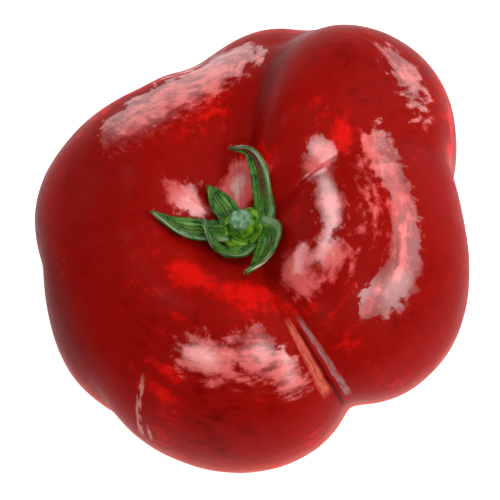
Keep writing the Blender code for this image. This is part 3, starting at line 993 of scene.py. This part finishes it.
# The same for the stub.
FIBRE_STRETCH = (1400.0, 1400.0, 260.0)
FIBRES = (1.0, 3.0)
FIBRE_SHADES = (0.38, 0.60)
FIBRE_BUMP = 0.12 * MM
CUT_STRETCH = (1500.0, 700.0, 900.0)
CUT_GRAIN = (1.0, 3.0, 0.6)
CUT_SHADES = (0.35, 0.65)
CUT_LEVEL = (0.85 * MM, 0.45 * MM)  # below the top, from green sides to the pale end
CUT_BUMP = 0.08 * MM
STEM_ROUGHNESS = (0.3, 0.7, 0.35, 0.55)


def stem_material(top):
    """Fibrous fresh green sides and a pale blue-green cut end."""
    material, tree, stem = new_material("cut_stem", Specular_IOR_Level=0.2)
    place = object_place(tree)
    fibres = noise_at(tree, scaled(tree, place, FIBRE_STRETCH), *FIBRES)
    colour = mix_colours(tree, between(tree, fibres, *FIBRE_SHADES), LEAF_GREEN, FRESH_GREEN)
    below = minus(tree, top, parts_of(tree, place)[2])
    rings = noise_at(tree, scaled(tree, place, CUT_STRETCH), *CUT_GRAIN)
    face = mix_colours(tree, between(tree, rings, *CUT_SHADES), CUT_GREEN, CUT_PALE)
    colour = mix_colours(tree, between(tree, below, *CUT_LEVEL), colour, face)
    tree.links.new(colour, stem["Base Color"])
    tree.links.new(between(tree, fibres, *STEM_ROUGHNESS), stem["Roughness"])
    tree.links.new(bump(tree, fibres, FIBRE_BUMP, bump(tree, rings, CUT_BUMP)), stem["Normal"])
    return material


def hair_material():
    """Pale green hairs, no two quite alike."""
    material, tree, hair = new_material("leaf_hairs", 0.4)
    shade = noise_at(tree, object_place(tree), 300.0)
    tree.links.new(mix_colours(tree, shade, HAIR_GREEN, PALE_GREEN), hair["Base Color"])
    return material


FLOOR_SIZE = 3.0
FLOOR_GLOW = 0.75           # so that the ground stays white and its shadows soft
PAPER_DULL = (0.86, 0.86, 0.86)
PAPER_WHITE = (0.90, 0.90, 0.90)
PAPER_GRAIN = (60.0, 3.0)
SKY_COLOUR = (0.9, 0.95, 1.0)
SKY_STRENGTH = 0.03


def floor_material():
    """Plain white paper."""
    material, tree, paper = new_material(
        "pale_paper", 0.9, Specular_IOR_Level=0.0, Emission_Color=(1.0, 1.0, 1.0, 1.0),
        Emission_Strength=FLOOR_GLOW,
    )
    grain = noise_at(tree, object_place(tree), *PAPER_GRAIN)
    tree.links.new(mix_colours(tree, grain, PAPER_DULL, PAPER_WHITE), paper["Base Color"])
    return material


def clad(piece, material, node=None):
    """Puts a finished piece on the frame's one body."""
    piece.data.materials.clear()
    piece.data.materials.append(material)
    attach(piece, "root")
    if node:
        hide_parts(node)


# The camera looks at the middle of the fruit as in the photograph.
CAMERA_ELEVATION = 68.0
CAMERA_LENS = 150.0         # on a sensor 36 mm wide
SENSOR_WIDTH = 36.0
PIXELS_PER_MM = 5.2
IMAGE_WIDTH = 500
SHIFT_RIGHT = 1.0           # pixels that the whole picture moves
SHIFT_UP = 7.0

# Soft boxes round the fruit: azimuth and elevation seen from its middle in degrees, width and
# height in metres, and brightness.
Lamp = namedtuple("Lamp", "name azimuth elevation width height brightness")
LAMP_DISTANCE = 0.60
LAMPS = (
    Lamp("top", azimuth=40, elevation=68, width=0.30, height=0.30, brightness=1.6),
    Lamp("back_left", azimuth=100, elevation=8, width=0.44, height=0.24, brightness=1.15),
    Lamp("back_left_high", azimuth=136, elevation=54, width=0.14, height=0.18, brightness=8.0),
    Lamp("back_right_low", azimuth=38, elevation=9, width=0.40, height=0.15, brightness=2.0),
    Lamp("right", azimuth=29, elevation=31, width=0.52, height=0.14, brightness=2.8),
    Lamp("right_front", azimuth=-15, elevation=36, width=0.24, height=0.16, brightness=5.5),
    Lamp("front_right", azimuth=-42, elevation=57, width=0.26, height=0.18, brightness=5.0),
    Lamp("front_right_low", azimuth=-38, elevation=26, width=0.14, height=0.16, brightness=4.0),
    Lamp("front_left", azimuth=-116, elevation=52, width=0.18, height=0.13, brightness=6.0),
    Lamp("left", azimuth=157, elevation=24, width=0.20, height=0.18, brightness=3.0),
)


def set_camera(middle):
    distance = CAMERA_LENS / SENSOR_WIDTH * IMAGE_WIDTH / PIXELS_PER_MM * MM
    elevation = math.radians(CAMERA_ELEVATION)
    lens = bpy.data.cameras.new("camera")
    lens.lens = CAMERA_LENS
    lens.sensor_width = SENSOR_WIDTH
    lens.shift_x = -SHIFT_RIGHT / IMAGE_WIDTH
    lens.shift_y = -SHIFT_UP / IMAGE_WIDTH
    camera = bpy.data.objects.new("camera", lens)
    bpy.context.scene.collection.objects.link(camera)
    camera.location = middle + distance * Vector((0.0, -math.cos(elevation), math.sin(elevation)))
    camera.rotation_euler = (middle - camera.location).to_track_quat("-Z", "Y").to_euler()
    bpy.context.scene.camera = camera


def set_lamps(middle):
    for lamp in LAMPS:
        azimuth, elevation = math.radians(lamp.azimuth), math.radians(lamp.elevation)
        away = Vector((
            math.cos(azimuth) * math.cos(elevation), math.sin(azimuth) * math.cos(elevation),
            math.sin(elevation),
        ))
        light = bpy.data.lights.new(lamp.name, "AREA")
        light.shape = "RECTANGLE"
        light.size = lamp.width
        light.size_y = lamp.height
        light.energy = lamp.brightness * math.pi * lamp.width * lamp.height
        holder = bpy.data.objects.new(lamp.name, light)
        bpy.context.scene.collection.objects.link(holder)
        holder.location = middle + away * LAMP_DISTANCE
        holder.rotation_euler = (-away).to_track_quat("-Z", "Y").to_euler()


def set_room():
    world = bpy.data.worlds.new("studio")
    world.use_nodes = True
    sky = world.node_tree.nodes["Background"].inputs
    sky["Color"].default_value = (*SKY_COLOUR, 1.0)
    sky["Strength"].default_value = SKY_STRENGTH
    bpy.context.scene.world = world
    bpy.context.scene.view_settings.view_transform = "Standard"
    shape = bmesh.new()
    bmesh.ops.create_grid(shape, x_segments=1, y_segments=1, size=FLOOR_SIZE)
    floor = make_object("floor", shape)
    floor.data.materials.append(floor_material())


def main():
    low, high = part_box("fruit")
    middle = (low + high) / 2.0
    set_camera(middle)
    set_lamps(middle)
    set_room()

    body, tree = make_skin()
    cavity_floor = skin_height(tree, 0.0, 0.0)
    calyx = make_calyx(tree, cavity_floor)
    stem = make_stem(cavity_floor + GAP + HUB_THICKNESS + FOOT_RISE)
    calyx_hairs = make_hairs("calyx_hairs", calyx, count=1500, seed=4, lowest_facing=0.2)
    stem_hairs = make_hairs("stem_hairs", stem, count=220, seed=5, lowest_facing=-0.3)

    corners = [Vector(corner) for corner in body.bound_box]
    centre = (corners[0] + corners[6]) / 2.0
    shift = Matrix.Translation((middle.x - centre.x, middle.y - centre.y, 0.0))
    for piece in (body, calyx, stem, calyx_hairs, stem_hairs):
        piece.data.transform(shift)

    streaks = streak_group()
    clad(body, skin_material(streaks, crease_line_group()), "fruit")
    clad(calyx, leaf_material(streaks), "calyx")
    clad(stem, stem_material(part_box("stem")[1].z), "stem")
    hairs = hair_material()
    clad(calyx_hairs, hairs)
    clad(stem_hairs, hairs)


main()
bpy.context.view_layer.update()
